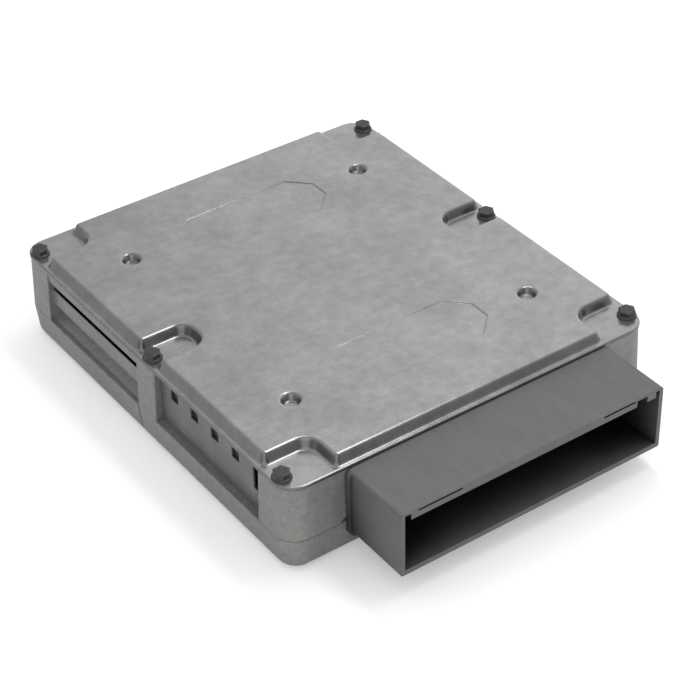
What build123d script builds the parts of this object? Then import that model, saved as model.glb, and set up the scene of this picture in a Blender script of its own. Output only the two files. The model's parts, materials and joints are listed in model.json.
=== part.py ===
from build123d import *
import math
import os

# Engine control unit: a cast frame between a pressed top cover and a tray, with a wide plug socket.
# X runs across the unit, the socket faces -Y, and Z = 0 is the flat underside of the tray.
# All sizes are in millimetres.

os.makedirs("parts", exist_ok=True)

# Housing, seen from above at the top of the frame, with the draft of the two castings in degrees
housing_width = 167.0
housing_depth = 189.2
corner_radius = 8.5
frame_draft = 2.0
tray_draft = 5.5

# Heights
tray_height = 14.7
frame_height = 23.6

# Top cover, a pressed sheet
sheet = 1.2
cover_overhang = 0.4
rim_round = 0.5
field_rise = 4.0
field_margin = 1.7
field_slope = 25.0
field_corner = 3.0
pad_corner = 5.5
corner_pad_x = 21.3
corner_pad_y = 17.1
mid_pad_x = 21.8
mid_pad_half = 6.0
mid_pad_corner = 4.8
crease_radius = 1.2
foot_radius = 0.8
dimple_x = 55.3
dimple_y = 56.0
dimple_depth = 2.6
dimple_rim = 7.8
dimple_floor = 4.8
dimple_round = 1.3
panel_width = 65.0
panel_length = 26.5
panel_chamfer = 8.5
panel_depth = 0.25
panel_x = 1.5
panel_y = 53.5

# Cover screws, hex heads with a washer face
screw_inset_x = 3.5
screw_inset_y = 8.3
screw_shank = 4.0
screw_length = 31.0
screw_end_gap = 1.0
hex_flats = 6.0
hex_height = 2.2
hex_bevel = 0.35
washer_diameter = 7.7
washer_height = 1.0
washer_bevel = 0.5
screw_clearance = 0.15

# Frame casting
wall = 3.0
boss_diameter = 11.0
edge_break = 0.3
notch_width = 3.0
notch_height = 2.0
front_corner_length = 18.1
back_corner_length = 19.6
post_from = -5.8
post_to = 7.0
post_depth = 12.3
post_foot = 1.2
post_foot_depth = 7.5
post_edge_radius = 0.8

# Tray
tray_wall = 2.6
tray_floor = 2.0
tray_edge_radius = 4.8
tray_boss = 9.0
fit_gap = 0.2

# Side bay with the heat-sink clip
bay_recess = 2.7
clip_sheet = 0.8
clip_end_gap = 7.6
clip_lift = 0.5
clip_hem = 3.4
clip_crease = 0.5
clip_tab = 2.6
clip_tab_height = 8.2
clip_top_gap = 0.7
window_width = 4.9
window_height = 7.5
window_drop = 8.9
window_pitch = 13.8
window_shift = 0.9
window_count = 4
clip_bend = 1.2
clip_hook = 7.0

# Power transistors and the rail that they press on
device_width = 10.2
device_thickness = 4.4
device_height = 15.5
device_head_gap = 0.8
device_gap = 0.2
lead_width = 0.8
lead_thickness = 0.6
lead_pitch = 2.54
thermal_pad = 0.3
rail_thickness = 4.0
rail_lift = 1.3
rail_gap = 0.2
rail_step = 6.0
rail_end_gap = 10.0

# Back bay with its open slot
flange_height = 5.0
flange_slant = 0.7
flange_thickness = 2.8
slot_height = 4.1
louvre_wall = 1.2
louvre_edge = 0.3
louvre_inset = 1.8
louvre_height = 6.9
cove_depth = 3.0
cove_lip_inset = 1.3
bay_wall = 1.8
skirt_wall = 1.8
skirt_drop = 3.7

# Plug socket
socket_x = 2.2
socket_width = 120.6
socket_bottom = 10.1
socket_height = 28.1
socket_reach = 32.0
socket_wall = 1.8
socket_roof = 3.6
socket_floor = 2.2
socket_depth = 28.0
socket_top_radius = 1.0
socket_bottom_radius = 0.9
collar_grow = 1.2
collar_drop = 1.9
collar_thickness = 2.3
collar_radius = 3.0
neck_gap = 0.1
opening_side = 1.6
key_skin = 0.9
key_left = 2.7
key_right = 5.0
key_rib = 4.2
key_gap = 1.7
mouth_slot_height = 0.7
mouth_slot_depth = 3.0
mouth_slot_skin = 0.5
mouth_slot_left = 19.3
mouth_slot_right = 15.1
mouth_slot_left_x = 7.6
mouth_slot_right_x = 13.7
pillar_diameter = 13.0
pillar_length = 10.0
insert_diameter = 9.0
insert_length = 14.0
thread_diameter = 5.0
cheek_width = 5.0
cheek_length = 20.0
cheek_height = 19.0
cheek_gap = 0.3

# Contact pins
pin_size = 0.8
pin_hole_gap = 0.05
pin_columns = 13
pin_pitch_x = 3.3
pin_first_x = 10.5
pin_rows = 4
pin_pitch_z = 4.0
pin_stick_out = 9.0
pin_tip = 1.2
pin_bend_first = 4.0
pin_bend_pitch = 4.0

# Circuit board
board_bottom = 9.0
board_thickness = 1.6
board_side_gap = 2.5
board_end_gap = 0.6
board_edge_gap = 0.6
board_screw_inset_x = 12.4
board_screw_inset_y = 20.8
board_screw_shank = 3.0
board_screw_head = 5.6
board_screw_head_height = 2.0
board_screw_length = 6.5
board_screw_end_gap = 0.5
board_boss = 8.0

# Electronic pieces on the board
processor_width = 28.0
processor_height = 3.2
processor_y = -8.0
processor_corner = 2.0
memory_width = 13.3
memory_length = 28.2
memory_height = 2.5
memory_x = 36.0
lead_reach = 1.6
foot_height = 0.4
crystal_width = 4.7
crystal_length = 11.4
crystal_height = 3.5
crystal_x = -26.0
driver_width = 15.9
driver_length = 11.0
driver_height = 3.3
driver_pitch = 26.0
driver_inset = 44.0
capacitor_diameter = 12.5
capacitor_height = 18.0
capacitor_pitch = 16.0
capacitor_x = -24.0
back_row_inset = 42.0
choke_diameter = 16.0
choke_base = 17.0
choke_base_height = 1.5
choke_height = 10.0
choke_x = 12.0
regulator_width = 10.2
regulator_length = 9.0
regulator_height = 4.4
regulator_tab = 1.6
regulator_tab_height = 1.3
regulator_x = 44.0
chip_capacitor_length = 3.2
chip_capacitor_width = 1.6
chip_capacitor_height = 1.2
chip_capacitor_count = 10
chip_capacitor_pitch = 8.0
chip_capacitor_inset = 28.0

# Values worked out from the sizes above
frame_top = tray_height + frame_height
cover_top = frame_top + sheet
field_top = cover_top + field_rise
half_width = housing_width / 2
half_depth = housing_depth / 2
seam_grow = (frame_height - 2 * edge_break) * math.tan(math.radians(frame_draft))
seam_half_width = half_width + seam_grow
seam_half_depth = half_depth + seam_grow
screw_x = half_width - screw_inset_x
screw_y = half_depth - screw_inset_y
screw_places = [(x, y) for x in (-screw_x, screw_x) for y in (-screw_y, 0, screw_y)]
corner_places = [(x, y) for x, y in screw_places if y != 0]
mid_places = [(x, y) for x, y in screw_places if y == 0]
post_middle = (post_from + post_to) / 2
post_width = post_to - post_from
front_bay_from = half_depth - front_corner_length
back_bay_to = half_depth - back_corner_length
board_top = board_bottom + board_thickness
board_half_width = half_width - tray_wall - board_side_gap
board_half_depth = half_depth - tray_wall - board_end_gap
board_screw_x = board_half_width - board_screw_inset_x
board_screw_y = board_half_depth - board_screw_inset_y
bay_face = half_width - bay_recess
clip_inner = bay_face - clip_sheet
device_outer = clip_inner - device_gap
rail_outer = device_outer - device_thickness - thermal_pad
rail_inner = rail_outer - rail_thickness
clip_top = frame_top - clip_top_gap
clip_bottom = tray_height + clip_lift
clip_from = front_bay_from - clip_end_gap
clip_to = -post_from + fit_gap
device_bottom = clip_top - clip_sheet - device_head_gap - device_height
rail_top = clip_top - clip_sheet - rail_gap
rail_bottom = tray_height + rail_lift
socket_left = socket_x - socket_width / 2
socket_right = socket_x + socket_width / 2
socket_top = socket_bottom + socket_height
socket_middle = socket_bottom + socket_height / 2
mouth = half_depth + socket_reach
socket_back = mouth - socket_depth
inner_left = socket_left + socket_wall
inner_right = socket_right - socket_wall
inner_top = socket_top - socket_roof
inner_bottom = socket_bottom + socket_floor
opening_left = socket_left + opening_side
opening_right = socket_right - opening_side


def outline(grow=0.0):
    """Plan of the housing, grown or shrunk all round."""
    RectangleRounded(housing_width + 2 * grow, housing_depth + 2 * grow, corner_radius + grow)


def field_sketch(height, inset):
    """Foot of the cover's raised field: a rectangle with a bite at each of the six screws."""
    far_x = half_width + cover_overhang - field_margin - inset
    far_y = half_depth + cover_overhang - field_margin - inset
    pad_x = half_width - corner_pad_x - inset
    pad_y = half_depth - corner_pad_y - inset
    mid_x = half_width - mid_pad_x - inset
    mid_half = mid_pad_half + inset
    bite = max(housing_width, housing_depth) / 4
    with BuildSketch(Plane.XY.offset(height)) as field:
        Rectangle(2 * far_x, 2 * far_y)
        with GridLocations(2 * pad_x + bite, 2 * pad_y + bite, 2, 2):
            Rectangle(bite, bite, mode=Mode.SUBTRACT)
        with GridLocations(2 * mid_x + bite, 1, 2, 1):
            Rectangle(bite, 2 * mid_half, mode=Mode.SUBTRACT)
        rim_corners = field.vertices().filter_by(
            lambda v: abs(abs(v.X) - far_x) < 0.01 or abs(abs(v.Y) - far_y) < 0.01
        )
        fillet(rim_corners, field_corner - inset)
        pad_corners = field.vertices().filter_by(
            lambda v: abs(abs(v.X) - pad_x) < 0.01 and abs(abs(v.Y) - pad_y) < 0.01
        )
        fillet(pad_corners, pad_corner + inset)
        mid_corners = field.vertices().filter_by(lambda v: abs(abs(v.X) - mid_x) < 0.01)
        fillet(mid_corners, mid_pad_corner + inset)
    return field.sketch


# The hollow under the top cover's field, one sheet thickness inside its outer face
slope = math.radians(field_slope)
hollow_inset = sheet / math.cos(slope) - sheet * math.tan(slope)
dimple_places = [(x, y) for x in (-dimple_x, dimple_x) for y in (-dimple_y, dimple_y)]
dimple_run = (dimple_rim - dimple_floor) / 2 / dimple_depth
dimple_skin = sheet * (math.hypot(1, dimple_run) - dimple_run)
with BuildPart() as cover_hollow:
    add(field_sketch(frame_top, hollow_inset))
    extrude(amount=field_rise, taper=field_slope)
    with Locations(*[(x, y, frame_top + field_rise) for x, y in dimple_places]):
        Cone(
            bottom_radius=dimple_floor / 2 + dimple_skin,
            top_radius=dimple_rim / 2 + dimple_skin,
            height=dimple_depth,
            align=(Align.CENTER, Align.CENTER, Align.MAX),
            mode=Mode.SUBTRACT,
        )

with BuildPart() as top_cover:
    with BuildSketch(Plane.XY.offset(frame_top)):
        outline(cover_overhang)
    extrude(amount=sheet)
    add(field_sketch(cover_top, 0))
    extrude(amount=field_rise, taper=field_slope)
    crease = top_cover.faces().sort_by(Axis.Z)[-1].edges()
    fillet(crease, crease_radius)
    foot_face = top_cover.faces().filter_by(Plane.XY).group_by(Axis.Z)[1][0]
    fillet(foot_face.inner_wires()[0].edges(), foot_radius)
    rim_face = top_cover.faces().filter_by(Plane.XY).group_by(Axis.Z)[1][0]
    fillet(rim_face.outer_wire().edges(), rim_round)
    with Locations(*[(x, y, field_top) for x, y in dimple_places]):
        Cone(
            bottom_radius=dimple_floor / 2,
            top_radius=dimple_rim / 2,
            height=dimple_depth,
            align=(Align.CENTER, Align.CENTER, Align.MAX),
            mode=Mode.SUBTRACT,
        )
    rims = top_cover.edges().filter_by(GeomType.CIRCLE).filter_by(
        lambda e: abs(e.radius - dimple_rim / 2) < 0.01 and abs(e.center().Z - field_top) < 0.01
    )
    fillet(rims, dimple_round)
    add(cover_hollow.part, mode=Mode.SUBTRACT)
    with BuildSketch(Plane.XY.offset(field_top)) as panels:
        with Locations((panel_x, -panel_y), (panel_x, panel_y)):
            Rectangle(panel_width, panel_length)
        chamfer(panels.vertices(), panel_chamfer)
    extrude(amount=-panel_depth, mode=Mode.SUBTRACT)
    with Locations(*[(x, y, cover_top) for x, y in screw_places]):
        Hole(screw_shank / 2 + screw_clearance, depth=2 * sheet)
top_cover.part.label = "top_cover"
export_step(top_cover.part, "parts/top_cover.step")

with BuildPart() as cover_screws:
    with BuildSketch(Plane.XY.offset(cover_top)):
        with Locations(*screw_places):
            Circle(washer_diameter / 2)
    extrude(amount=washer_height)
    washer_rims = cover_screws.edges().filter_by(GeomType.CIRCLE).group_by(Axis.Z)[-1]
    chamfer(washer_rims, washer_bevel)
    with BuildSketch(Plane.XY.offset(cover_top)):
        with Locations(*screw_places):
            RegularPolygon(hex_flats / 2, 6, major_radius=False)
    extrude(amount=washer_height + hex_height)
    chamfer(cover_screws.edges().group_by(Axis.Z)[-1], hex_bevel)
    with BuildSketch(Plane.XY.offset(cover_top)):
        with Locations(*screw_places):
            Circle(screw_shank / 2)
    extrude(amount=-screw_length)
cover_screws.part.label = "cover_screws"
export_step(cover_screws.part, "parts/cover_screws.step")

# Left back bay: a low wall under an open slot, with a cove below and a skirt inside the tray
louvre_face = half_width - louvre_inset
louvre_top = frame_top - flange_height - slot_height
louvre_bottom = louvre_top - louvre_height
cove_face = louvre_face - cove_depth
cove_lip = half_width - cove_lip_inset
bay_inner = cove_face - bay_wall
bay_from = post_to - fit_gap
bay_length = back_bay_to - post_to + 2 * fit_gap
with BuildPart() as left_back_bay:
    with BuildSketch(Plane.XZ.offset(-bay_from)):
        with BuildLine():
            Polyline(
                (-louvre_face, louvre_bottom),
                (-louvre_face, louvre_top),
                (-louvre_face + louvre_edge, louvre_top),
                (-louvre_face + louvre_wall, louvre_top - louvre_wall),
                (-louvre_face + louvre_wall, louvre_bottom + bay_wall),
                (-bay_inner, louvre_bottom),
                (-bay_inner, tray_height - bay_wall),
                (-bay_face + skirt_wall, tray_height - bay_wall),
                (-bay_face + skirt_wall, tray_height - skirt_drop),
                (-bay_face, tray_height - skirt_drop),
                (-bay_face, tray_height),
                (-cove_lip, tray_height),
                (-cove_lip, tray_height + edge_break),
                (-cove_face, tray_height + edge_break + bay_wall),
                (-cove_face, louvre_bottom - bay_wall),
                close=True,
            )
        make_face()
    extrude(amount=-bay_length)
    with BuildSketch(Plane.XZ.offset(-bay_from)):
        with BuildLine():
            Polyline(
                (-half_width, frame_top),
                (-half_width + flange_thickness, frame_top),
                (-half_width + flange_thickness, frame_top - flange_height),
                (-half_width + flange_slant, frame_top - flange_height),
                close=True,
            )
        make_face()
    extrude(amount=-bay_length)
    with BuildSketch(Plane.XY.offset(tray_height + edge_break)):
        with Locations((-half_width + wall / 2, back_bay_to)):
            Rectangle(half_width - wall / 2 - bay_inner, bay_wall, align=(Align.MIN, Align.MIN))
    extrude(amount=frame_height - edge_break)

# Left front bay: a sill for the clip and the cast rail behind it
sill_from = -front_bay_from - fit_gap
sill_length = front_bay_from + post_from + 2 * fit_gap
rail_from = -half_depth + wall - fit_gap
rail_end = front_bay_from - rail_end_gap
with BuildPart() as left_front_bay:
    with BuildSketch(Plane.XY.offset(tray_height - skirt_drop)):
        with Locations((-bay_face, sill_from)):
            Rectangle(skirt_wall, sill_length, align=(Align.MIN, Align.MIN))
    extrude(amount=clip_bottom - tray_height + skirt_drop)
    with BuildSketch(Plane.XY.offset(rail_bottom)):
        with Locations((-rail_outer, rail_from)):
            Rectangle(rail_thickness, post_from + fit_gap - rail_from, align=(Align.MIN, Align.MIN))
    extrude(amount=rail_step)
    with BuildSketch(Plane.XY.offset(rail_bottom)):
        with Locations((-rail_outer, -rail_end)):
            Rectangle(rail_thickness, rail_end + post_from + fit_gap, align=(Align.MIN, Align.MIN))
    extrude(amount=rail_top - rail_bottom)

# Outer forms of the two castings, which the mid posts follow too, with their broken edges at the seam
with BuildPart() as tray_form:
    with BuildSketch(Plane.XY.offset(tray_height - edge_break)):
        outline(seam_grow)
    extrude(amount=edge_break - tray_height, taper=tray_draft)
    fillet(tray_form.faces().sort_by(Axis.Z)[0].edges(), tray_edge_radius)

with BuildPart() as tray_rim:
    with BuildSketch(Plane.XY.offset(tray_height - edge_break)):
        outline(seam_grow)
    extrude(amount=edge_break, taper=45)

with BuildPart() as frame_form:
    with BuildSketch(Plane.XY.offset(tray_height + edge_break)):
        outline(seam_grow)
    extrude(amount=frame_height - 2 * edge_break, taper=frame_draft)

with BuildPart() as frame_rims:
    with BuildSketch(Plane.XY.offset(tray_height + edge_break)):
        outline(seam_grow)
    extrude(amount=-edge_break, taper=45)
    with BuildSketch(Plane.XY.offset(frame_top - edge_break)):
        outline(-edge_break)
    extrude(amount=edge_break)

with BuildPart() as post_blocks:
    with BuildSketch(Plane.XY.offset(tray_height)):
        with GridLocations(2 * seam_half_width - post_depth, 1, 2, 1):
            with Locations((0, post_middle)):
                Rectangle(post_depth, post_width)
    extrude(amount=frame_height)
    with BuildSketch(Plane.XY.offset(post_foot)):
        with GridLocations(2 * seam_half_width - post_foot_depth, 1, 2, 1):
            with Locations((0, post_middle)):
                Rectangle(post_foot_depth, post_width)
    extrude(amount=tray_height - post_foot)

# Mid posts, each running down past the seam as a foot, with rounded outer edges
with BuildPart() as mid_posts:
    with BuildSketch(Plane.XY.offset(tray_height - edge_break)):
        outline(seam_grow)
    extrude(amount=2 * edge_break)
    add(frame_form.part)
    add(tray_form.part)
    with BuildSketch(Plane.XY.offset(frame_top - edge_break)):
        outline()
    extrude(amount=edge_break)
    add(post_blocks.part, mode=Mode.INTERSECT)
    post_edges = mid_posts.edges().filter_by(
        lambda e: abs(e.center().X) > half_width - wall
        and abs(e.center().Y - post_middle) > post_width / 2 - 0.01
    )
    fillet(post_edges, post_edge_radius)

with BuildPart() as housing_frame:
    add(frame_form.part)
    add(frame_rims.part)
    with BuildSketch(Plane.XY.offset(tray_height)):
        RectangleRounded(
            housing_width - 2 * wall, housing_depth - 2 * wall, corner_radius - wall
        )
        with Locations(*corner_places):
            Circle(boss_diameter / 2, mode=Mode.SUBTRACT)
    extrude(amount=frame_height, mode=Mode.SUBTRACT)
    with BuildSketch(Plane.XY.offset(tray_height)):
        with GridLocations(housing_width, 1, 2, 1):
            with Locations((0, (back_bay_to - front_bay_from) / 2)):
                Rectangle(2 * wall, front_bay_from + back_bay_to)
    extrude(amount=frame_height, mode=Mode.SUBTRACT)
    add(mid_posts.part)
    add(left_back_bay.part)
    mirror(left_back_bay.part, about=Plane.YZ)
    add(left_front_bay.part)
    mirror(left_front_bay.part, about=Plane.YZ)
    with BuildSketch(Plane.XY.offset(tray_height)):
        with Locations(((opening_left + opening_right) / 2, -half_depth)):
            Rectangle(opening_right - opening_left, 2 * wall + 1)
    extrude(amount=frame_height, mode=Mode.SUBTRACT)
    with BuildSketch(Plane.XZ.offset(half_depth - wall)):
        with BuildLine():
            Polyline(
                (socket_left - collar_grow - notch_width, tray_height),
                (socket_right + collar_grow + notch_width, tray_height),
                (socket_right + collar_grow, tray_height + notch_height),
                (socket_left - collar_grow, tray_height + notch_height),
                close=True,
            )
        make_face()
    extrude(amount=2 * wall, mode=Mode.SUBTRACT)
    with Locations(*[(x, y, frame_top) for x, y in corner_places]):
        Hole(screw_shank / 2 + screw_clearance, depth=frame_height)
    with Locations(*[(x, y, frame_top) for x, y in mid_places]):
        Hole(screw_shank / 2 + screw_clearance, depth=screw_length - sheet + screw_end_gap)
housing_frame.part.label = "housing_frame"
export_step(housing_frame.part, "parts/housing_frame.step")

board_screw_places = [
    (x, y) for x in (-board_screw_x, board_screw_x) for y in (-board_screw_y, board_screw_y)
]
with BuildPart() as lower_cover:
    add(tray_form.part)
    add(tray_rim.part)
    with BuildSketch(Plane.XY.offset(tray_floor)):
        RectangleRounded(
            housing_width - 2 * tray_wall, housing_depth - 2 * tray_wall, corner_radius - tray_wall
        )
        with Locations(*corner_places):
            Circle(tray_boss / 2, mode=Mode.SUBTRACT)
        with Locations(*board_screw_places):
            Circle(board_boss / 2, mode=Mode.SUBTRACT)
    extrude(amount=tray_height, mode=Mode.SUBTRACT)
    with BuildSketch(Plane.XY.offset(board_bottom)):
        with Locations(*board_screw_places):
            Circle(board_boss / 2 + fit_gap)
    extrude(amount=tray_height, mode=Mode.SUBTRACT)
    with BuildSketch():
        with GridLocations(2 * seam_half_width, 1, 2, 1):
            with Locations((0, post_middle)):
                Rectangle(2 * (post_foot_depth + fit_gap), post_width + 2 * fit_gap)
    extrude(amount=tray_height, mode=Mode.SUBTRACT)
    with BuildSketch(Plane.XY.offset(socket_bottom)):
        with Locations(((opening_left + opening_right) / 2, -half_depth)):
            Rectangle(opening_right - opening_left, 2 * tray_wall + 1)
    extrude(amount=tray_height, mode=Mode.SUBTRACT)
    with Locations(*[(x, y, tray_height) for x, y in corner_places]):
        Hole(
            screw_shank / 2 + screw_clearance,
            depth=screw_length - sheet - frame_height + screw_end_gap,
        )
    with Locations(*[(x, y, board_bottom) for x, y in board_screw_places]):
        Hole(
            board_screw_shank / 2 + pin_hole_gap,
            depth=board_screw_length - board_thickness + board_screw_end_gap,
        )
lower_cover.part.label = "lower_cover"
export_step(lower_cover.part, "parts/lower_cover.step")

# Heat-sink clip: a folded sheet that hooks over the rail, with a window over each transistor
clip_length = clip_from - clip_to
hook_outer = rail_inner - rail_gap
crease_z = clip_bottom + clip_hem
window_middle = window_shift - (clip_from + clip_to) / 2
window_places = [window_middle + (i - (window_count - 1) / 2) * window_pitch for i in range(window_count)]
with BuildPart() as heatsink_clip_left:
    with BuildSketch(Plane.XZ.offset(clip_to)) as clip_section:
        with BuildLine():
            Polyline(
                (-bay_face, clip_bottom),
                (-bay_face, crease_z - clip_crease),
                (-bay_face + clip_crease, crease_z),
                (-bay_face, crease_z + clip_crease),
                (-bay_face, clip_top),
                (-hook_outer + clip_sheet, clip_top),
                (-hook_outer + clip_sheet, clip_top - clip_hook),
                (-hook_outer, clip_top - clip_hook),
                (-hook_outer, clip_top - clip_sheet),
                (-clip_inner, clip_top - clip_sheet),
                (-clip_inner, crease_z + clip_crease),
                (-clip_inner + clip_crease, crease_z),
                (-clip_inner, crease_z - clip_crease),
                (-clip_inner, clip_bottom),
                close=True,
            )
        make_face()
        bends = clip_section.vertices().filter_by(lambda v: abs(v.Y - clip_top) < 0.01)
        fillet(bends, clip_bend)
    extrude(amount=clip_length)
    with BuildSketch(Plane.YZ.offset(-bay_face)):
        with Locations((-clip_from - clip_tab, clip_bottom)):
            Rectangle(2 * clip_tab, clip_tab_height, align=(Align.MIN, Align.MIN))
    extrude(amount=clip_sheet)
    with BuildSketch(Plane.YZ.offset(-bay_face)):
        with Locations(*[(y, clip_top - window_drop) for y in window_places]):
            Rectangle(window_width, window_height, align=(Align.CENTER, Align.MIN))
    extrude(amount=clip_sheet, mode=Mode.SUBTRACT)
heatsink_clip_left.part.label = "heatsink_clip_left"
export_step(heatsink_clip_left.part, "parts/heatsink_clip_left.step")

# Power transistors, one behind each window, with three leads down to the board
device_middle = device_outer - device_thickness / 2
with BuildPart() as power_transistors_left:
    with BuildSketch(Plane.XY.offset(device_bottom)):
        with Locations(*[(-device_middle, y) for y in window_places]):
            Rectangle(device_thickness, device_width)
    extrude(amount=device_height)
    with BuildSketch(Plane.XY.offset(board_top)):
        for y in window_places:
            with Locations((-device_middle, y)):
                with GridLocations(1, lead_pitch, 1, 3):
                    Rectangle(lead_thickness, lead_width)
    extrude(amount=device_bottom - board_top)
power_transistors_left.part.label = "power_transistors_left"
export_step(power_transistors_left.part, "parts/power_transistors_left.step")

pad_length = (window_count - 1) * window_pitch + device_width
with BuildPart() as thermal_pad_left:
    with BuildSketch(Plane.XY.offset(device_bottom)):
        with Locations((-rail_outer - thermal_pad / 2, window_middle)):
            Rectangle(thermal_pad, pad_length)
    extrude(amount=device_height)
thermal_pad_left.part.label = "thermal_pad_left"
export_step(thermal_pad_left.part, "parts/thermal_pad_left.step")

for left, name in (
    (heatsink_clip_left, "heatsink_clip_right"),
    (power_transistors_left, "power_transistors_right"),
    (thermal_pad_left, "thermal_pad_right"),
):
    with BuildPart() as right_side:
        mirror(left.part, about=Plane.YZ)
    right_side.part.label = name
    export_step(right_side.part, f"parts/{name}.step")

# Plug socket, moulded in one piece with its collar, pillar and two cheeks on the board
pin_columns_x = [
    socket_x + side * (pin_first_x + i * pin_pitch_x) for side in (-1, 1) for i in range(pin_columns)
]
pin_rows_z = [socket_middle + (k - (pin_rows - 1) / 2) * pin_pitch_z for k in range(pin_rows)]
cheek_left = opening_left + cheek_gap
cheek_right = opening_right - cheek_gap - cheek_width
cheek_places = [cheek_left + cheek_width / 2, cheek_right + cheek_width / 2]
cheek_screw_y = -half_depth + cheek_length / 2
neck_back = half_depth - wall
with BuildPart() as plug_socket:
    with BuildSketch(Plane.XZ.offset(seam_half_depth)) as shroud:
        with Locations((socket_x, socket_middle)):
            Rectangle(socket_width, socket_height)
        fillet(shroud.vertices().group_by(Axis.Y)[-1], socket_top_radius)
        fillet(shroud.vertices().group_by(Axis.Y)[0], socket_bottom_radius)
    extrude(amount=mouth - seam_half_depth)
    with BuildSketch(Plane.XZ.offset(seam_half_depth)):
        with Locations((socket_x, socket_middle - collar_drop / 2)):
            RectangleRounded(
                socket_width + 2 * collar_grow, socket_height + collar_drop, collar_radius
            )
    extrude(amount=collar_thickness)
    with BuildSketch(Plane.XZ.offset(neck_back)):
        with Locations(((opening_left + opening_right) / 2, socket_bottom + neck_gap)):
            Rectangle(
                opening_right - opening_left - 2 * neck_gap,
                frame_top - socket_bottom - 2 * neck_gap,
                align=(Align.CENTER, Align.MIN),
            )
    extrude(amount=seam_half_depth - neck_back)
    with BuildSketch(Plane.XZ.offset(mouth)):
        with Locations((inner_left, inner_bottom)):
            Rectangle(
                inner_right - inner_left, inner_top - inner_bottom, align=(Align.MIN, Align.MIN)
            )
        key_top = socket_top - key_skin
        for start, width in (
            (inner_left, key_left),
            (inner_right - key_gap, key_gap),
            (inner_right - key_gap - key_rib - key_right, key_right),
        ):
            with Locations((start, inner_bottom)):
                Rectangle(width, key_top - inner_bottom, align=(Align.MIN, Align.MIN))
    extrude(amount=-socket_depth, mode=Mode.SUBTRACT)
    with BuildSketch(Plane.XZ.offset(socket_back)):
        with Locations((socket_x, socket_middle)):
            Circle(pillar_diameter / 2)
    extrude(amount=pillar_length)
    with BuildSketch(Plane.XZ.offset(socket_back + pillar_length)):
        with Locations((socket_x, socket_middle)):
            Circle(insert_diameter / 2)
    extrude(amount=-insert_length, mode=Mode.SUBTRACT)
    slot_z = socket_top - mouth_slot_skin - mouth_slot_height
    with BuildSketch(Plane.XZ.offset(mouth)):
        with Locations((socket_left + mouth_slot_left_x, slot_z)):
            Rectangle(mouth_slot_left, mouth_slot_height, align=(Align.MIN, Align.MIN))
        with Locations((socket_right - mouth_slot_right_x, slot_z)):
            Rectangle(mouth_slot_right, mouth_slot_height, align=(Align.MAX, Align.MIN))
    extrude(amount=-mouth_slot_depth, mode=Mode.SUBTRACT)
    with BuildSketch(Plane.XZ.offset(half_depth)):
        with Locations(*[(x, board_top) for x in cheek_places]):
            Rectangle(cheek_width, cheek_height, align=(Align.CENTER, Align.MIN))
    extrude(amount=-cheek_length)
    with Locations(*[(x, cheek_screw_y, board_top) for x in cheek_places]):
        Cylinder(
            board_screw_shank / 2 + pin_hole_gap,
            board_screw_length,
            align=(Align.CENTER, Align.CENTER, Align.MIN),
            mode=Mode.SUBTRACT,
        )
    with BuildSketch(Plane.XZ.offset(neck_back)):
        with Locations(*[(x, z) for x in pin_columns_x for z in pin_rows_z]):
            Rectangle(pin_size + 2 * pin_hole_gap, pin_size + 2 * pin_hole_gap)
    extrude(amount=socket_back - neck_back, mode=Mode.SUBTRACT)
plug_socket.part.label = "plug_socket"
export_step(plug_socket.part, "parts/plug_socket.step")

with BuildPart() as jackscrew_insert:
    with BuildSketch(Plane.XZ.offset(socket_back + pillar_length)):
        with Locations((socket_x, socket_middle)):
            Circle(insert_diameter / 2)
            Circle(thread_diameter / 2, mode=Mode.SUBTRACT)
    extrude(amount=-insert_length)
jackscrew_insert.part.label = "jackscrew_insert"
export_step(jackscrew_insert.part, "parts/jackscrew_insert.step")

# Contact pins, bent down to the board, each row behind the one below it
pin_tip_y = -(socket_back + pin_stick_out)
pin_half = pin_size / 2
for k, pin_z in enumerate(pin_rows_z):
    bend_y = -half_depth + pin_bend_first + k * pin_bend_pitch
    with BuildPart() as pin_row:
        with BuildSketch(*[Plane.YZ.offset(x) for x in pin_columns_x]):
            with BuildLine():
                Polyline(
                    (pin_tip_y, pin_z),
                    (pin_tip_y + pin_tip, pin_z + pin_half),
                    (bend_y + pin_half, pin_z + pin_half),
                    (bend_y + pin_half, board_top),
                    (bend_y - pin_half, board_top),
                    (bend_y - pin_half, pin_z - pin_half),
                    (pin_tip_y + pin_tip, pin_z - pin_half),
                    close=True,
                )
            make_face()
        extrude(amount=pin_half, both=True)
    pin_row.part.label = f"contact_pins_row_{k + 1}"
    export_step(pin_row.part, f"parts/contact_pins_row_{k + 1}.step")

# Circuit board, cut back round the mid posts' feet and the tray's corner bosses
with BuildPart() as circuit_board:
    with BuildSketch(Plane.XY.offset(board_bottom)):
        Rectangle(2 * board_half_width, 2 * board_half_depth)
        with Locations(*corner_places):
            Circle(tray_boss / 2 + 2 * board_edge_gap, mode=Mode.SUBTRACT)
        with GridLocations(2 * seam_half_width, 1, 2, 1):
            with Locations((0, post_middle)):
                Rectangle(
                    2 * (post_foot_depth + board_edge_gap),
                    post_width + 2 * board_edge_gap,
                    mode=Mode.SUBTRACT,
                )
        with Locations(*board_screw_places, *[(x, cheek_screw_y) for x in cheek_places]):
            Circle(board_screw_shank / 2 + screw_clearance, mode=Mode.SUBTRACT)
    extrude(amount=board_thickness)
circuit_board.part.label = "circuit_board"
export_step(circuit_board.part, "parts/circuit_board.step")

with BuildPart() as board_screws:
    with BuildSketch(Plane.XY.offset(board_top)):
        with Locations(*board_screw_places):
            Circle(board_screw_head / 2)
    extrude(amount=board_screw_head_height)
    with BuildSketch(Plane.XY.offset(board_top)):
        with Locations(*board_screw_places):
            Circle(board_screw_shank / 2)
    extrude(amount=-board_screw_length)
board_screws.part.label = "board_screws"
export_step(board_screws.part, "parts/board_screws.step")

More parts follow.
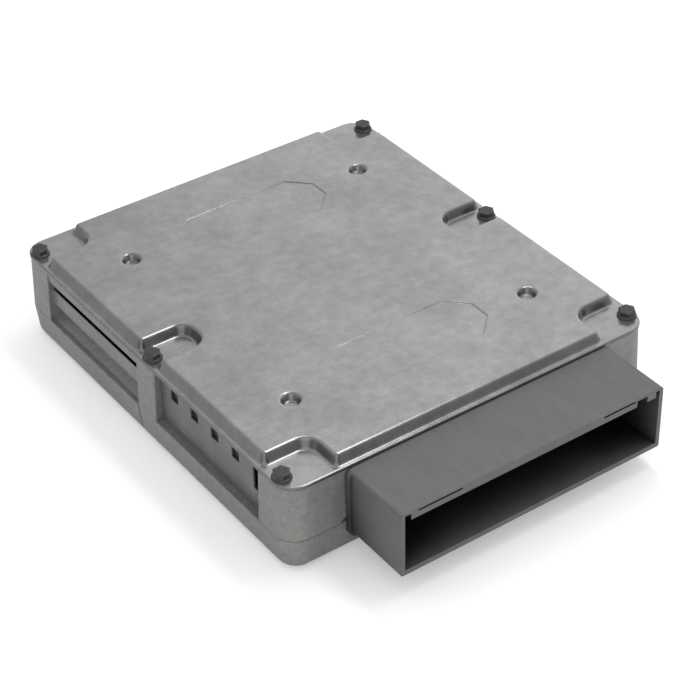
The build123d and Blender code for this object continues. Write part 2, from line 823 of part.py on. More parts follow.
with BuildPart() as socket_screws:
    with BuildSketch(Plane.XY.offset(board_bottom)):
        with Locations(*[(x, cheek_screw_y) for x in cheek_places]):
            Circle(board_screw_head / 2)
    extrude(amount=-board_screw_head_height)
    with BuildSketch(Plane.XY.offset(board_bottom)):
        with Locations(*[(x, cheek_screw_y) for x in cheek_places]):
            Circle(board_screw_shank / 2)
    extrude(amount=board_screw_length)
socket_screws.part.label = "socket_screws"
export_step(socket_screws.part, "parts/socket_screws.step")

# Electronic pieces, all standing on the board's top
with BuildPart() as processor_chip:
    with BuildSketch(Plane.XY.offset(board_top)):
        with Locations((0, processor_y)):
            Rectangle(processor_width + 2 * lead_reach, processor_width + 2 * lead_reach)
    extrude(amount=foot_height)
    with BuildSketch(Plane.XY.offset(board_top)) as processor_plan:
        with Locations((0, processor_y)):
            Rectangle(processor_width, processor_width)
        chamfer(processor_plan.vertices(), processor_corner)
    extrude(amount=processor_height)
processor_chip.part.label = "processor_chip"
export_step(processor_chip.part, "parts/processor_chip.step")

with BuildPart() as memory_chip:
    with BuildSketch(Plane.XY.offset(board_top)):
        with Locations((memory_x, processor_y)):
            Rectangle(memory_width + 2 * lead_reach, memory_length - lead_reach)
    extrude(amount=foot_height)
    with BuildSketch(Plane.XY.offset(board_top)):
        with Locations((memory_x, processor_y)):
            Rectangle(memory_width, memory_length)
    extrude(amount=memory_height)
memory_chip.part.label = "memory_chip"
export_step(memory_chip.part, "parts/memory_chip.step")

with BuildPart() as clock_crystal:
    with BuildSketch(Plane.XY.offset(board_top)):
        with Locations((crystal_x, processor_y)):
            SlotOverall(crystal_length, crystal_width, rotation=90)
    extrude(amount=crystal_height)
clock_crystal.part.label = "clock_crystal"
export_step(clock_crystal.part, "parts/clock_crystal.step")

with BuildPart() as driver_chips:
    with BuildSketch(Plane.XY.offset(board_top)):
        with Locations((0, -half_depth + driver_inset)):
            with GridLocations(driver_pitch, 1, 4, 1):
                Rectangle(driver_width - lead_reach, driver_length + 2 * lead_reach)
    extrude(amount=foot_height)
    with BuildSketch(Plane.XY.offset(board_top)):
        with Locations((0, -half_depth + driver_inset)):
            with GridLocations(driver_pitch, 1, 4, 1):
                Rectangle(driver_width, driver_length)
    extrude(amount=driver_height)
driver_chips.part.label = "driver_chips"
export_step(driver_chips.part, "parts/driver_chips.step")

with BuildPart() as filter_capacitors:
    with BuildSketch(Plane.XY.offset(board_top)):
        with Locations((capacitor_x, half_depth - back_row_inset)):
            with GridLocations(capacitor_pitch, 1, 3, 1):
                Circle(capacitor_diameter / 2)
    extrude(amount=capacitor_height)
filter_capacitors.part.label = "filter_capacitors"
export_step(filter_capacitors.part, "parts/filter_capacitors.step")

with BuildPart() as power_choke:
    with BuildSketch(Plane.XY.offset(board_top)):
        with Locations((choke_x, half_depth - back_row_inset)):
            Rectangle(choke_base, choke_base)
    extrude(amount=choke_base_height)
    with BuildSketch(Plane.XY.offset(board_top)):
        with Locations((choke_x, half_depth - back_row_inset)):
            Circle(choke_diameter / 2)
    extrude(amount=choke_height)
power_choke.part.label = "power_choke"
export_step(power_choke.part, "parts/power_choke.step")

with BuildPart() as voltage_regulator:
    with BuildSketch(Plane.XY.offset(board_top)):
        with Locations((regulator_x, half_depth - back_row_inset)):
            Rectangle(regulator_width, regulator_length)
    extrude(amount=regulator_height)
    with BuildSketch(Plane.XY.offset(board_top)):
        with Locations((regulator_x, half_depth - back_row_inset + regulator_length / 2)):
            Rectangle(regulator_width, 2 * regulator_tab)
    extrude(amount=regulator_tab_height)
voltage_regulator.part.label = "voltage_regulator"
export_step(voltage_regulator.part, "parts/voltage_regulator.step")

with BuildPart() as chip_capacitors:
    with BuildSketch(Plane.XY.offset(board_top)):
        with Locations((socket_x, -half_depth + chip_capacitor_inset)):
            with GridLocations(chip_capacitor_pitch, 1, chip_capacitor_count, 1):
                Rectangle(chip_capacitor_length, chip_capacitor_width)
    extrude(amount=chip_capacitor_height)
chip_capacitors.part.label = "chip_capacitors"
export_step(chip_capacitors.part, "parts/chip_capacitors.step")
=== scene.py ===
# %% [markdown]
# # Engine control unit
# The unit is a flat cast frame between a pressed aluminium cover and a cast tray, with one wide plug
# socket on its front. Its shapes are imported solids, which are right as they are, so this lesson gives
# them their metals and plastics, and then sets up the light and the camera that the photograph had.

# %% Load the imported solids
import json
import math
import bpy
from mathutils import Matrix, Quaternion, Vector

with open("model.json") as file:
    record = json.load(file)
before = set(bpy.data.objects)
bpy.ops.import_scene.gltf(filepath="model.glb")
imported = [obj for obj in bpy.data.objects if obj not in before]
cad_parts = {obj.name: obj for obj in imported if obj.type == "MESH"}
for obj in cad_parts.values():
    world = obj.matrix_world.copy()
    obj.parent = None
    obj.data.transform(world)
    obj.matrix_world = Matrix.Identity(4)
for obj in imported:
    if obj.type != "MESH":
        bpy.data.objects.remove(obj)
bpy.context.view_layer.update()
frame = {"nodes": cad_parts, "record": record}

# %% [markdown]
# ## Colours and sizes
# Colours are written as the hex values that a paint chart would give, and one function turns them to
# the linear values that Blender works in. Pattern sizes are in millimetres and the objects in metres,
# so a pattern's scale is 1000 over its size. The grain of a real skin is often too fine to show from
# nearly a metre away. Such a pattern is drawn as coarse as it needs to show, and the text says so.

# %% Colour and size helpers
MILLIMETRE = 0.001


def linear(code):
    """Linear RGBA of an sRGB hex colour such as 9a9a98."""
    channels = [int(code[i:i + 2], 16) / 255 for i in (0, 2, 4)]
    return [v / 12.92 if v <= 0.04045 else ((v + 0.055) / 1.055) ** 2.4 for v in channels] + [1.0]


def per_mm(size):
    """Texture scale of a pattern whose features are this many millimetres wide."""
    return 1000.0 / size


print("white is", linear("ffffff"), "and a pattern of 1 mm has the scale", per_mm(1))

# %% [markdown]
# ## Nodes
# A finish is a node tree on the Principled shader. Its patterns are laid over one another by a Math
# node that multiplies one pattern by its weight and adds the next. The inputs of a Math node all
# have one name, so they are told apart by number.

# %% Node helpers
FIRST, SECOND, THIRD = 0, 1, 2


def add(tree, kind, values=None, links=None, **settings):
    """Add a shader node with its settings, its plain values and the sockets that feed it."""
    made = tree.nodes.new("ShaderNode" + kind)
    for name, value in settings.items():
        setattr(made, name, value)
    for name, value in (values or {}).items():
        made.inputs[name].default_value = value
    for name, source in (links or {}).items():
        tree.links.new(source, made.inputs[name])
    return made


def set_stops(ramp, stops):
    """Give a colour ramp its places and colours. A missing stop is added at its end and then moved."""
    elements = ramp.color_ramp.elements
    while len(elements) < len(stops):
        elements.new(1.0)
    for element, (place, code) in zip(elements, stops):
        element.position = place
        element.color = linear(code)


def new_finish(name, **sockets):
    """Start a material; each socket of its shader that is the same all over is set here."""
    finish = bpy.data.materials.new(name)
    finish.use_nodes = True
    shader = finish.node_tree.nodes["Principled BSDF"]
    for socket, value in sockets.items():
        shader.inputs[socket.replace("_", " ")].default_value = value
    return finish, finish.node_tree, shader


finishes = {}
print("node helpers made")

# %% [markdown]
# ## Rolled aluminium sheet
# The cover is pressed from mill-finish aluminium sheet. It is a metal, so its colour is what it
# reflects, but oxide and handling leave it dull, so it is set a little short of fully metallic. It
# has soft clouds a few centimetres wide, and in them smaller blotches that break up into specks.
# Rolling leaves faint lines, which run across the unit. Real ones are as thin as a hair, and these
# are drawn about a millimetre wide.

# %% Clouds, blotches and rolling lines of the cover
cloud_weight = 0.9
line_weight = 0.25
finishes["cover_aluminium"], tree, shader = new_finish("rolled_aluminium_sheet", Metallic=0.8)
place = add(tree, "TexCoord").outputs["Object"]
clouds = add(tree, "TexNoise", {"Scale": per_mm(26), "Detail": 6.0}, {"Vector": place})
blotches = add(
    tree,
    "TexNoise",
    {"Scale": per_mm(4.5), "Detail": 6.0, "Roughness": 0.62},
    {"Vector": place},
)
across = add(tree, "Mapping", {"Scale": (0.12, 1.0, 1.0)}, {"Vector": place})
lines = add(
    tree, "TexNoise", {"Scale": per_mm(1.2), "Detail": 2.0}, {"Vector": across.outputs["Vector"]}
)
fine = add(
    tree,
    "Math",
    {SECOND: line_weight},
    {FIRST: lines.outputs["Fac"], THIRD: blotches.outputs["Fac"]},
    operation="MULTIPLY_ADD",
)
mottle = add(
    tree,
    "Math",
    {SECOND: cloud_weight},
    {FIRST: clouds.outputs["Fac"], THIRD: fine.outputs["Value"]},
    operation="MULTIPLY_ADD",
)
toned = add(
    tree, "MapRange", {"From Min": 0.75, "From Max": 1.4}, {"Value": mottle.outputs["Value"]}
)
print("sheet's pattern", len(tree.nodes), "nodes")

# %% [markdown]
# ## Scratches
# The assembly bench leaves a few thin scratches on the cover. They are a noise that is drawn out fifty
# times, of which only the highest crests are kept. The mapping node stretches before it turns, so the
# scratches run across the unit, and the turn only picks another part of the noise for them.

# %% Scratches of the cover
stretched = add(
    tree,
    "Mapping",
    {"Rotation": (0.0, 0.0, math.radians(62)), "Scale": (0.02, 1.0, 1.0)},
    {"Vector": place},
)
streaks = add(
    tree, "TexNoise", {"Scale": per_mm(2.4), "Detail": 1.0}, {"Vector": stretched.outputs["Vector"]}
)
scratches = add(
    tree, "MapRange", {"From Min": 0.72, "From Max": 0.80}, {"Value": streaks.outputs["Fac"]}
)
print("scratches added,", len(tree.nodes), "nodes")

# %% [markdown]
# ## Painted shade on steep walls
# The colour of the pressed sheet is darker on its steep walls, which is painted shade. A bevel node
# with a wide radius evens out the normals round each point, so it still finds the steep walls, and it
# passes over the shallow panels. How far that normal points up sets how much painted shade darkens
# the colour.

# %% Colour and roughness of the cover
cover_tint = add(tree, "ValToRGB", None, {"Fac": toned.outputs["Result"]})
set_stops(cover_tint, [(0.1, "989898"), (0.5, "a3a3a2"), (0.9, "aeaead")])
evened = add(tree, "Bevel", {"Radius": 1.6 * MILLIMETRE}, samples=6)
upright = add(tree, "SeparateXYZ", None, {"Vector": evened.outputs["Normal"]})
# Painted shade: the less the evened normal points up, the darker the sheet's colour.
painted_slope_shade = add(
    tree,
    "MapRange",
    {"From Min": 0.35, "From Max": 0.95, "To Min": 0.46, "To Max": 1.0},
    {"Value": upright.outputs["Z"]},
)
sheet_tint_with_slope_shade = add(
    tree,
    "VectorMath",
    None,
    {"Vector": cover_tint.outputs["Color"], "Scale": painted_slope_shade.outputs["Result"]},
    operation="SCALE",
)
cover_rough = add(
    tree, "MapRange", {"To Min": 0.2, "To Max": 0.27}, {"Value": toned.outputs["Result"]}
)
tree.links.new(sheet_tint_with_slope_shade.outputs["Vector"], shader.inputs["Base Color"])
tree.links.new(cover_rough.outputs["Result"], shader.inputs["Roughness"])
print("sheet's colour,", len(tree.nodes), "nodes")

# %% [markdown]
# ## Relief of the sheet
# A press leaves no sharp edge on a sheet, and a narrow bevel node rounds the shading there. Blotches,
# lines and scratches are about a hundredth of a millimetre deep, too little to model, so they are
# bumps. The scratches are cut in, so their bump is inverted.

# %% Relief of the cover
edge = add(tree, "Bevel", {"Radius": 0.9 * MILLIMETRE}, samples=8)
cover_bump = add(
    tree,
    "Bump",
    {"Strength": 0.3, "Distance": 0.02 * MILLIMETRE},
    {"Height": fine.outputs["Value"], "Normal": edge.outputs["Normal"]},
)
scratch_bump = add(
    tree,
    "Bump",
    {"Strength": 0.3, "Distance": 0.02 * MILLIMETRE},
    {"Height": scratches.outputs["Result"], "Normal": cover_bump.outputs["Normal"]},
    invert=True,
)
tree.links.new(scratch_bump.outputs["Normal"], shader.inputs["Normal"])
print("rolled aluminium sheet", len(tree.nodes), "nodes")

# %% [markdown]
# ## Pressure-cast aluminium
# The frame and the tray are pressure castings, left as they came from the die and a blast of shot.
# Such a skin is rougher than sheet and mottled gray, with pale and dark patches where the metal froze
# at different speeds. A noise gives the patches, and a cell pattern the dents of the shot, which are
# drawn a millimetre wide, coarser than real ones. The bump follows both, so that the skin looks
# grainy under a low light. A broad noise lets the tone change slowly along the casting.

# %% Finish of the frame and the tray
dent_weight = 0.35
broad_weight = 0.35
finishes["cast_aluminium"], tree, shader = new_finish("cast_aluminium_skin", Metallic=0.6)
place = add(tree, "TexCoord").outputs["Object"]
edge = add(tree, "Bevel", {"Radius": 0.4 * MILLIMETRE}, samples=4)
patches = add(
    tree,
    "TexNoise",
    {"Scale": per_mm(2.6), "Detail": 5.0, "Roughness": 0.65},
    {"Vector": place},
)
dents = add(tree, "TexVoronoi", {"Scale": per_mm(1.1)}, {"Vector": place})
broad = add(tree, "TexNoise", {"Scale": per_mm(35), "Detail": 2.0}, {"Vector": place})
skin = add(
    tree,
    "Math",
    {SECOND: dent_weight},
    {FIRST: dents.outputs["Distance"], THIRD: patches.outputs["Fac"]},
    operation="MULTIPLY_ADD",
)
tone = add(
    tree,
    "Math",
    {SECOND: broad_weight},
    {FIRST: broad.outputs["Fac"], THIRD: skin.outputs["Value"]},
    operation="MULTIPLY_ADD",
)
cast_tint = add(tree, "ValToRGB", None, {"Fac": tone.outputs["Value"]})
set_stops(cast_tint, [(0.45, "807f7d"), (0.8, "8e8e8c"), (1.0, "999896")])
cast_rough = add(
    tree, "MapRange", {"To Min": 0.48, "To Max": 0.62}, {"Value": skin.outputs["Value"]}
)
cast_bump = add(
    tree,
    "Bump",
    {"Strength": 0.45, "Distance": 0.08 * MILLIMETRE},
    {"Height": skin.outputs["Value"], "Normal": edge.outputs["Normal"]},
)
tree.links.new(cast_tint.outputs["Color"], shader.inputs["Base Color"])
tree.links.new(cast_rough.outputs["Result"], shader.inputs["Roughness"])
tree.links.new(cast_bump.outputs["Normal"], shader.inputs["Normal"])
print("cast aluminium", len(tree.nodes), "nodes")

# %% [markdown]
# ## Phosphated steel
# The screws are dark: steel with a phosphate coat, kept oiled. The coat is a crust of fine crystals
# that scatters light, drawn far coarser here than it is. The wrench rubs it thin on the corners. The
# bevel node's normal differs from the true normal only near an edge, so how far the two are alike
# tells the corners from the flats.

# %% Finish of the screws
crust_weight = 0.5
finishes["screw_steel"], tree, shader = new_finish("phosphated_steel", Metallic=0.7)
place = add(tree, "TexCoord").outputs["Object"]
edge = add(tree, "Bevel", {"Radius": 0.4 * MILLIMETRE}, samples=6)
true_way = add(tree, "NewGeometry").outputs["Normal"]
crust = add(tree, "TexNoise", {"Scale": per_mm(0.9), "Detail": 4.0}, {"Vector": place})
alike = add(
    tree,
    "VectorMath",
    None,
    {FIRST: edge.outputs["Normal"], SECOND: true_way},
    operation="DOT_PRODUCT",
)
worn = add(
    tree,
    "MapRange",
    {"From Min": 0.995, "From Max": 0.93, "To Min": 0.0, "To Max": 0.45},
    {"Value": alike.outputs["Value"]},
)
wear = add(
    tree,
    "Math",
    {SECOND: crust_weight},
    {FIRST: crust.outputs["Fac"], THIRD: worn.outputs["Result"]},
    operation="MULTIPLY_ADD",
)
screw_tint = add(tree, "ValToRGB", None, {"Fac": wear.outputs["Value"]})
set_stops(screw_tint, [(0.15, "454443"), (0.4, "555453"), (0.85, "858380")])
screw_rough = add(
    tree, "MapRange", {"To Min": 0.36, "To Max": 0.52}, {"Value": crust.outputs["Fac"]}
)
screw_bump = add(
    tree,
    "Bump",
    {"Strength": 0.3, "Distance": 0.04 * MILLIMETRE},
    {"Height": crust.outputs["Fac"], "Normal": edge.outputs["Normal"]},
)
tree.links.new(screw_tint.outputs["Color"], shader.inputs["Base Color"])
tree.links.new(screw_rough.outputs["Result"], shader.inputs["Roughness"])
tree.links.new(screw_bump.outputs["Normal"], shader.inputs["Normal"])
print("phosphated steel", len(tree.nodes), "nodes")

# %% [markdown]
# ## Cold-rolled spring steel
# The clips are folded from thin spring steel strip, bare and slightly darkened by its heat treatment,
# with stains about a centimetre wide. The strip's rolling lines run along it, which here is the Y
# direction, so their pattern is drawn out ten times in Y. They are drawn coarser than real ones.

# %% Finish of the heat-sink clips
strip_line_weight = 0.5
finishes["clip_steel"], tree, shader = new_finish("cold_rolled_spring_steel", Metallic=0.75)
place = add(tree, "TexCoord").outputs["Object"]
along = add(tree, "Mapping", {"Scale": (1.0, 0.1, 1.0)}, {"Vector": place})
lines = add(
    tree, "TexNoise", {"Scale": per_mm(0.8), "Detail": 3.0}, {"Vector": along.outputs["Vector"]}
)
stains = add(tree, "TexNoise", {"Scale": per_mm(12), "Detail": 4.0}, {"Vector": place})
strip = add(
    tree,
    "Math",
    {SECOND: strip_line_weight},
    {FIRST: lines.outputs["Fac"], THIRD: stains.outputs["Fac"]},
    operation="MULTIPLY_ADD",
)
clip_tint = add(tree, "ValToRGB", None, {"Fac": strip.outputs["Value"]})
set_stops(clip_tint, [(0.5, "757574"), (0.8, "80807f"), (1.0, "8b8b89")])
clip_rough = add(
    tree, "MapRange", {"To Min": 0.38, "To Max": 0.5}, {"Value": strip.outputs["Value"]}
)
clip_bump = add(
    tree,
    "Bump",
    {"Strength": 0.2, "Distance": 0.03 * MILLIMETRE},
    {"Height": lines.outputs["Fac"]},
)
tree.links.new(clip_tint.outputs["Color"], shader.inputs["Base Color"])
tree.links.new(clip_rough.outputs["Result"], shader.inputs["Roughness"])
tree.links.new(clip_bump.outputs["Normal"], shader.inputs["Normal"])
print("spring steel", len(tree.nodes), "nodes")

# %% [markdown]
# ## Glass-filled polyester
# Plug sockets of this kind are moulded in polyester with glass fibre in it. The mould is eroded to an
# even fine grain, drawn coarser here so that it shows, and the fibres near the skin leave faint pale
# streaks along the flow. It isn't a metal, so its colour is its own, and its soft sheen comes from
# the roughness alone.

# %% Grain, fibres and relief of the socket
grain_weight = 0.3
finishes["socket_plastic"], tree, shader = new_finish("glass_filled_polyester", Metallic=0.0, IOR=1.55)
place = add(tree, "TexCoord").outputs["Object"]
edge = add(tree, "Bevel", {"Radius": 0.3 * MILLIMETRE}, samples=4)
grain = add(tree, "TexNoise", {"Scale": per_mm(0.8), "Detail": 3.0}, {"Vector": place})
flow = add(tree, "Mapping", {"Scale": (1.0, 0.2, 1.0)}, {"Vector": place})
fibres = add(
    tree, "TexNoise", {"Scale": per_mm(3.0), "Detail": 4.0}, {"Vector": flow.outputs["Vector"]}
)
shade = add(
    tree,
    "Math",
    {SECOND: grain_weight},
    {FIRST: grain.outputs["Fac"], THIRD: fibres.outputs["Fac"]},
    operation="MULTIPLY_ADD",
)
socket_rough = add(
    tree, "MapRange", {"To Min": 0.44, "To Max": 0.56}, {"Value": grain.outputs["Fac"]}
)
socket_bump = add(
    tree,
    "Bump",
    {"Strength": 0.25, "Distance": 0.04 * MILLIMETRE},
    {"Height": grain.outputs["Fac"], "Normal": edge.outputs["Normal"]},
)
tree.links.new(socket_rough.outputs["Result"], shader.inputs["Roughness"])
tree.links.new(socket_bump.outputs["Normal"], shader.inputs["Normal"])
print("glass-filled polyester", len(tree.nodes), "nodes")

# %% [markdown]
# ## Painted shade inside the socket
# The socket is nearly black inside, darker than the light alone would leave it, and that is painted
# shade. An ambient occlusion node measures how enclosed each point is, and that darkens the colour.
# It looks no farther than 30 mm, about the depth of the socket.

# %% Colour of the socket
socket_tint = add(tree, "ValToRGB", None, {"Fac": shade.outputs["Value"]})
set_stops(socket_tint, [(0.4, "5a5a5b"), (0.65, "5e5e5f"), (0.9, "626263")])
openness = add(tree, "AmbientOcclusion", {"Distance": 30 * MILLIMETRE}, samples=8)
# Painted shade: the more enclosed a point inside the socket, the darker its colour.
painted_recess_shade = add(
    tree,
    "MapRange",
    {"From Min": 0.34, "From Max": 0.78, "To Min": 0.02, "To Max": 1.0},
    {"Value": openness.outputs["AO"]},
)
socket_tint_with_shade = add(
    tree,
    "VectorMath",
    None,
    {"Vector": socket_tint.outputs["Color"], "Scale": painted_recess_shade.outputs["Result"]},
    operation="SCALE",
)
tree.links.new(socket_tint_with_shade.outputs["Vector"], shader.inputs["Base Color"])
print("socket's colour,", len(tree.nodes), "nodes")

# %% [markdown]
# ## Tinned brass
# The contact pins are brass with a thin bright plate of tin, a little yellow where it is thinnest. The
# plate is never quite even, so one noise changes both its colour and its gloss.

# %% Finish of the contact pins
finishes["contact_brass"], tree, shader = new_finish("tinned_brass", Metallic=1.0)
place = add(tree, "TexCoord").outputs["Object"]
plate = add(tree, "TexNoise", {"Scale": per_mm(1.5), "Detail": 3.0}, {"Vector": place})
pin_tint = add(tree, "ValToRGB", None, {"Fac": plate.outputs["Fac"]})
set_stops(pin_tint, [(0.3, "b9b096"), (0.7, "d2cbb6")])
pin_rough = add(tree, "MapRange", {"To Min": 0.22, "To Max": 0.36}, {"Value": plate.outputs["Fac"]})
tree.links.new(pin_tint.outputs["Color"], shader.inputs["Base Color"])
tree.links.new(pin_rough.outputs["Result"], shader.inputs["Roughness"])
print("tinned brass", len(tree.nodes), "nodes")

# %% [markdown]
# ## Turned brass
# The insert for the plug's screw is bare brass with the fine rings of the lathe round its axis. The
# axis runs along Y, so the pattern changes fast in Y, and is drawn out ten times in X and Z.

# %% Finish of the screw insert
finishes["insert_brass"], tree, shader = new_finish("turned_brass", Metallic=1.0)
place = add(tree, "TexCoord").outputs["Object"]
round_axis = add(tree, "Mapping", {"Scale": (0.1, 1.0, 0.1)}, {"Vector": place})
rings = add(
    tree,
    "TexNoise",
    {"Scale": per_mm(0.4), "Detail": 2.0},
    {"Vector": round_axis.outputs["Vector"]},
)
insert_tint = add(tree, "ValToRGB", None, {"Fac": rings.outputs["Fac"]})
set_stops(insert_tint, [(0.3, "a8905a"), (0.7, "c4ad76")])
insert_rough = add(tree, "MapRange", {"To Min": 0.25, "To Max": 0.4}, {"Value": rings.outputs["Fac"]})
insert_bump = add(
    tree,
    "Bump",
    {"Strength": 0.3, "Distance": 0.03 * MILLIMETRE},
    {"Height": rings.outputs["Fac"]},
)
tree.links.new(insert_tint.outputs["Color"], shader.inputs["Base Color"])
tree.links.new(insert_rough.outputs["Result"], shader.inputs["Roughness"])
tree.links.new(insert_bump.outputs["Normal"], shader.inputs["Normal"])
print("turned brass", len(tree.nodes), "nodes")

# %% [markdown]
# ## Circuit board
# The board is glass laminate under green solder mask, a hard and glossy lacquer, so the shader has a
# coat. Copper tracks under the mask show as lighter lines at right angles. A brick pattern with thin
# joints gives such lines without drawing a real circuit, which would hardly show inside the unit.

# %% Finish of the circuit board
finishes["board_laminate"], tree, shader = new_finish(
    "green_solder_mask", Metallic=0.0, Coat_Weight=0.4, Coat_Roughness=0.15
)
place = add(tree, "TexCoord").outputs["Object"]
tracks = add(
    tree,
    "TexBrick",
    {
        "Color1": linear("10452c"),
        "Color2": linear("0e3d27"),
        "Mortar": linear("2a6b48"),
        "Scale": per_mm(6),
        "Mortar Size": 0.03,
        "Brick Width": 1.6,
        "Row Height": 0.5,
    },
    {"Vector": place},
)
weave = add(tree, "TexNoise", {"Scale": per_mm(0.6), "Detail": 2.0}, {"Vector": place})
board_rough = add(tree, "MapRange", {"To Min": 0.3, "To Max": 0.45}, {"Value": weave.outputs["Fac"]})
board_bump = add(
    tree,
    "Bump",
    {"Strength": 0.3, "Distance": 0.03 * MILLIMETRE},
    {"Height": tracks.outputs["Fac"]},
)
tree.links.new(tracks.outputs["Color"], shader.inputs["Base Color"])
tree.links.new(board_rough.outputs["Result"], shader.inputs["Roughness"])
tree.links.new(board_bump.outputs["Normal"], shader.inputs["Normal"])
print("solder mask", len(tree.nodes), "nodes")

# %% [markdown]
# ## The small pieces on the board
# Chips are black epoxy with a fine eroded grain. The pads under the power transistors are soft
# silicone. The crystal sits in a drawn and plated can, the large capacitors in a shiny dark shrink
# sleeve, the choke is sintered ferrite, and the small capacitors are fired ceramic. Each is one noise
# between a dark and a pale colour, coarse or fine as its own stuff is.

# %% Finishes of the pieces on the board
# The record's slot, the finish, its metallic, its dark and its pale colour, its grain in
# millimetres, and its lowest and highest roughness
board_pieces = (
    ("chip_black", "black_epoxy", 0.0, "161616", "212122", 0.4, 0.5, 0.62),
    ("thermal_pad", "silicone_pad", 0.0, "85868a", "95969b", 1.2, 0.7, 0.8),
    ("crystal_can", "plated_steel_can", 1.0, "b4b4b2", "cbcbc8", 2.0, 0.16, 0.28),
    ("capacitor_sleeve", "shrink_sleeve", 0.0, "11131c", "1b1e2a", 6.0, 0.18, 0.3),
    ("choke_ferrite", "sintered_ferrite", 0.0, "1a1a1c", "2b2b2e", 0.6, 0.55, 0.7),
    ("chip_capacitor", "fired_ceramic", 0.0, "7c5c3a", "957350", 0.5, 0.4, 0.55),
)
for slot_name, name, metal, dark, pale, grain_mm, smooth, rough in board_pieces:
    finishes[slot_name], tree, shader = new_finish(name, Metallic=metal)
    place = add(tree, "TexCoord").outputs["Object"]
    grain = add(tree, "TexNoise", {"Scale": per_mm(grain_mm), "Detail": 3.0}, {"Vector": place})
    tint = add(tree, "ValToRGB", None, {"Fac": grain.outputs["Fac"]})
    set_stops(tint, [(0.35, dark), (0.65, pale)])
    sheen = add(tree, "MapRange", {"To Min": smooth, "To Max": rough}, {"Value": grain.outputs["Fac"]})
    bump = add(
        tree,
        "Bump",
        {"Strength": 0.25, "Distance": 0.03 * MILLIMETRE},
        {"Height": grain.outputs["Fac"]},
    )
    tree.links.new(tint.outputs["Color"], shader.inputs["Base Color"])
    tree.links.new(sheen.outputs["Result"], shader.inputs["Roughness"])
    tree.links.new(bump.outputs["Normal"], shader.inputs["Normal"])
print("finishes", len(finishes))

# %% [markdown]
# ## Dress the solids
# The record names the finish of every piece. Each solid keeps its mesh, and only the material in its
# slots changes.

# %% Give each solid its finish
for entry in frame["record"]["subparts"]:
    solid = frame["nodes"][entry["node"]]
    finish = finishes[entry["material_slot"]]
    if not solid.material_slots:
        solid.data.materials.append(finish)
    for material_slot in solid.material_slots:
        material_slot.material = finish

# %% [markdown]
# ## Floor
# A plain white floor carries the unit and its soft shadow. It is far wider than the unit, so its edge
# never shows, and it isn't part of the object. It lies a fifth of a millimetre low, so that it and
# the unit's underside aren't in one plane. Paper is never quite as white as the background of the
# photograph, so for the camera alone it is lifted a little, and the shadow stays.

# %% Lay the floor
floor_width = 12.0
lift_for_camera = 0.25
bpy.ops.object.select_all(action="DESELECT")
bpy.ops.mesh.primitive_plane_add(size=floor_width, location=(0, 0, -0.2 * MILLIMETRE))
floor = bpy.context.object
floor.name = "studio_floor"
paper, tree, shader = new_finish("studio_paper", Roughness=0.9, Specular_IOR_Level=0.1)
shader.inputs["Base Color"].default_value = linear("f6f6f6")
shader.inputs["Emission Color"].default_value = linear("ffffff")
rays = add(tree, "LightPath")
lift = add(tree, "MapRange", {"To Max": lift_for_camera}, {"Value": rays.outputs["Is Camera Ray"]})
tree.links.new(lift.outputs["Result"], shader.inputs["Emission Strength"])
floor.data.materials.append(paper)
print("floor laid,", floor_width, "m wide")

# %% [markdown]
# ## Even light
# The photograph was lit evenly from all round. The world gives that light, a little weaker than the
# white that the camera sees. A metal mirrors the room round it, and for reflections alone the room is
# white at the back right, and darker towards the front and towards the left. That shades the pressed
# slopes as they are shaded in the photograph.

# %% Set the world
even_light = 0.8
camera_white = 1.0
world = bpy.data.worlds.new("studio_light")
bpy.context.scene.world = world
world.use_nodes = True
tree = world.node_tree
rays = add(tree, "LightPath")
ray_way = add(tree, "SeparateXYZ", None, {"Vector": add(tree, "TexCoord").outputs["Generated"]})
rightward = add(
    tree,
    "MapRange",
    {"From Min": 0.2, "From Max": 0.6, "To Min": 0.5, "To Max": 1.09},
    {"Value": ray_way.outputs["X"]},
)
backward = add(
    tree,
    "MapRange",
    {"From Min": -0.7, "From Max": 0.5, "To Min": 0.45, "To Max": 1.0},
    {"Value": ray_way.outputs["Y"]},
)
room = add(
    tree,
    "Math",
    None,
    {FIRST: rightward.outputs["Result"], SECOND: backward.outputs["Result"]},
    operation="MULTIPLY",
)
on_objects = add(
    tree, "Mix", {"A": even_light}, {"Factor": rays.outputs["Is Glossy Ray"], "B": room.outputs["Value"]}
)
clear_view = add(
    tree,
    "Math",
    None,
    {FIRST: rays.outputs["Is Camera Ray"], SECOND: rays.outputs["Is Transmission Ray"]},
    operation="ADD",
    use_clamp=True,
)
strength = add(
    tree,
    "Mix",
    {"B": camera_white},
    {"Factor": clear_view.outputs["Value"], "A": on_objects.outputs["Result"]},
)
backdrop = tree.nodes["Background"]
backdrop.inputs["Color"].default_value = linear("ffffff")
tree.links.new(strength.outputs["Result"], backdrop.inputs["Strength"])
print("world set,", len(tree.nodes), "nodes")

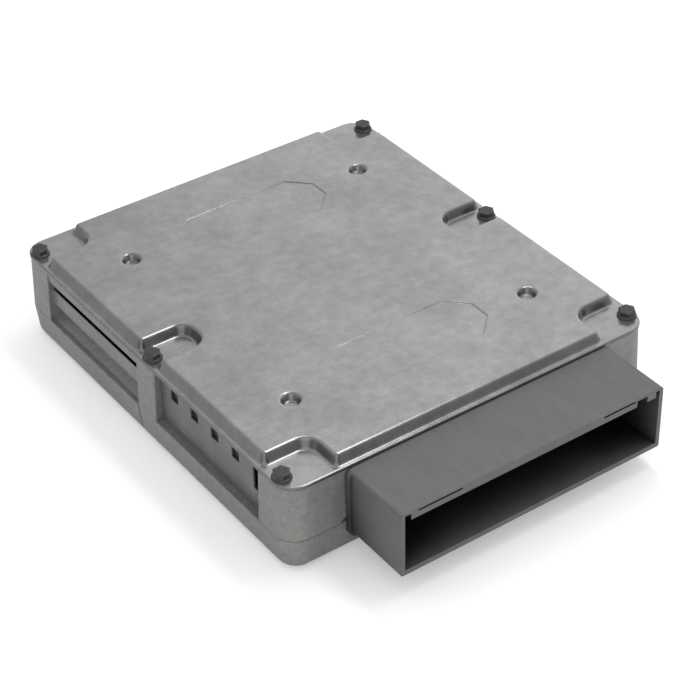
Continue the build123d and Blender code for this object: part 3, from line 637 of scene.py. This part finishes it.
# %% [markdown]
# ## Lamps
# One narrow lamp hangs half a metre up, a little to the right of the unit, and draws the thin shining
# lines on some of the cover's creases. A wide soft lamp stands behind the camera and lights the sides
# that the camera sees.

# %% Hang the lamps
# Name, place, the way it shines, width and length in metres, and power in watts
lamps = (
    ("overhead_strip", Vector((0.135, -0.04, 0.50)), Vector((0.0, 0.0, -1.0)), 0.11, 0.45, 0.75),
    ("front_fill", Vector((-0.88, -1.12, 0.72)), Vector((0.55, 0.70, -0.45)), 1.2, 1.2, 3.6),
)
for name, place, way, width, length, watts in lamps:
    lamp = bpy.data.lights.new(name, "AREA")
    lamp.shape = "RECTANGLE"
    lamp.size = width
    lamp.size_y = length
    lamp.energy = watts
    holder = bpy.data.objects.new(name, lamp)
    holder.location = place
    holder.rotation_euler = way.to_track_quat("-Z", "Y").to_euler()
    bpy.context.scene.collection.objects.link(holder)
print("lamps", len(lamps))

# %% [markdown]
# ## Camera
# The photograph's view was worked out from the unit's straight edges: a long lens from the front
# left, 36.7 degrees above the table, tipped by one degree. The shift puts the unit where it stands in
# the photograph's frame. Its last pixel was found by laying the render's edges on the photograph's.

# %% Place the camera
azimuth = math.radians(-35.18)
elevation = math.radians(36.70)
tip = math.radians(-1.03)
camera_data = bpy.data.cameras.new("photo_camera")
camera_data.sensor_width = 36.0
camera_data.lens = 109.97
camera_data.shift_x = -0.0108
camera_data.shift_y = -0.0166
camera_data.clip_start = 0.01
camera_data.clip_end = 50.0
camera = bpy.data.objects.new("photo_camera", camera_data)
camera.location = (-0.38584, -0.56773, 0.52418)
towards_camera = Vector(
    (
        math.sin(azimuth) * math.cos(elevation),
        -math.cos(azimuth) * math.cos(elevation),
        math.sin(elevation),
    )
)
level = (-towards_camera).to_track_quat("-Z", "Y")
camera.rotation_euler = (level @ Quaternion((0, 0, 1), tip)).to_euler()
bpy.context.scene.collection.objects.link(camera)
bpy.context.scene.camera = camera
bpy.context.scene.view_settings.view_transform = "Standard"
print("camera at", [round(v, 3) for v in camera.location])
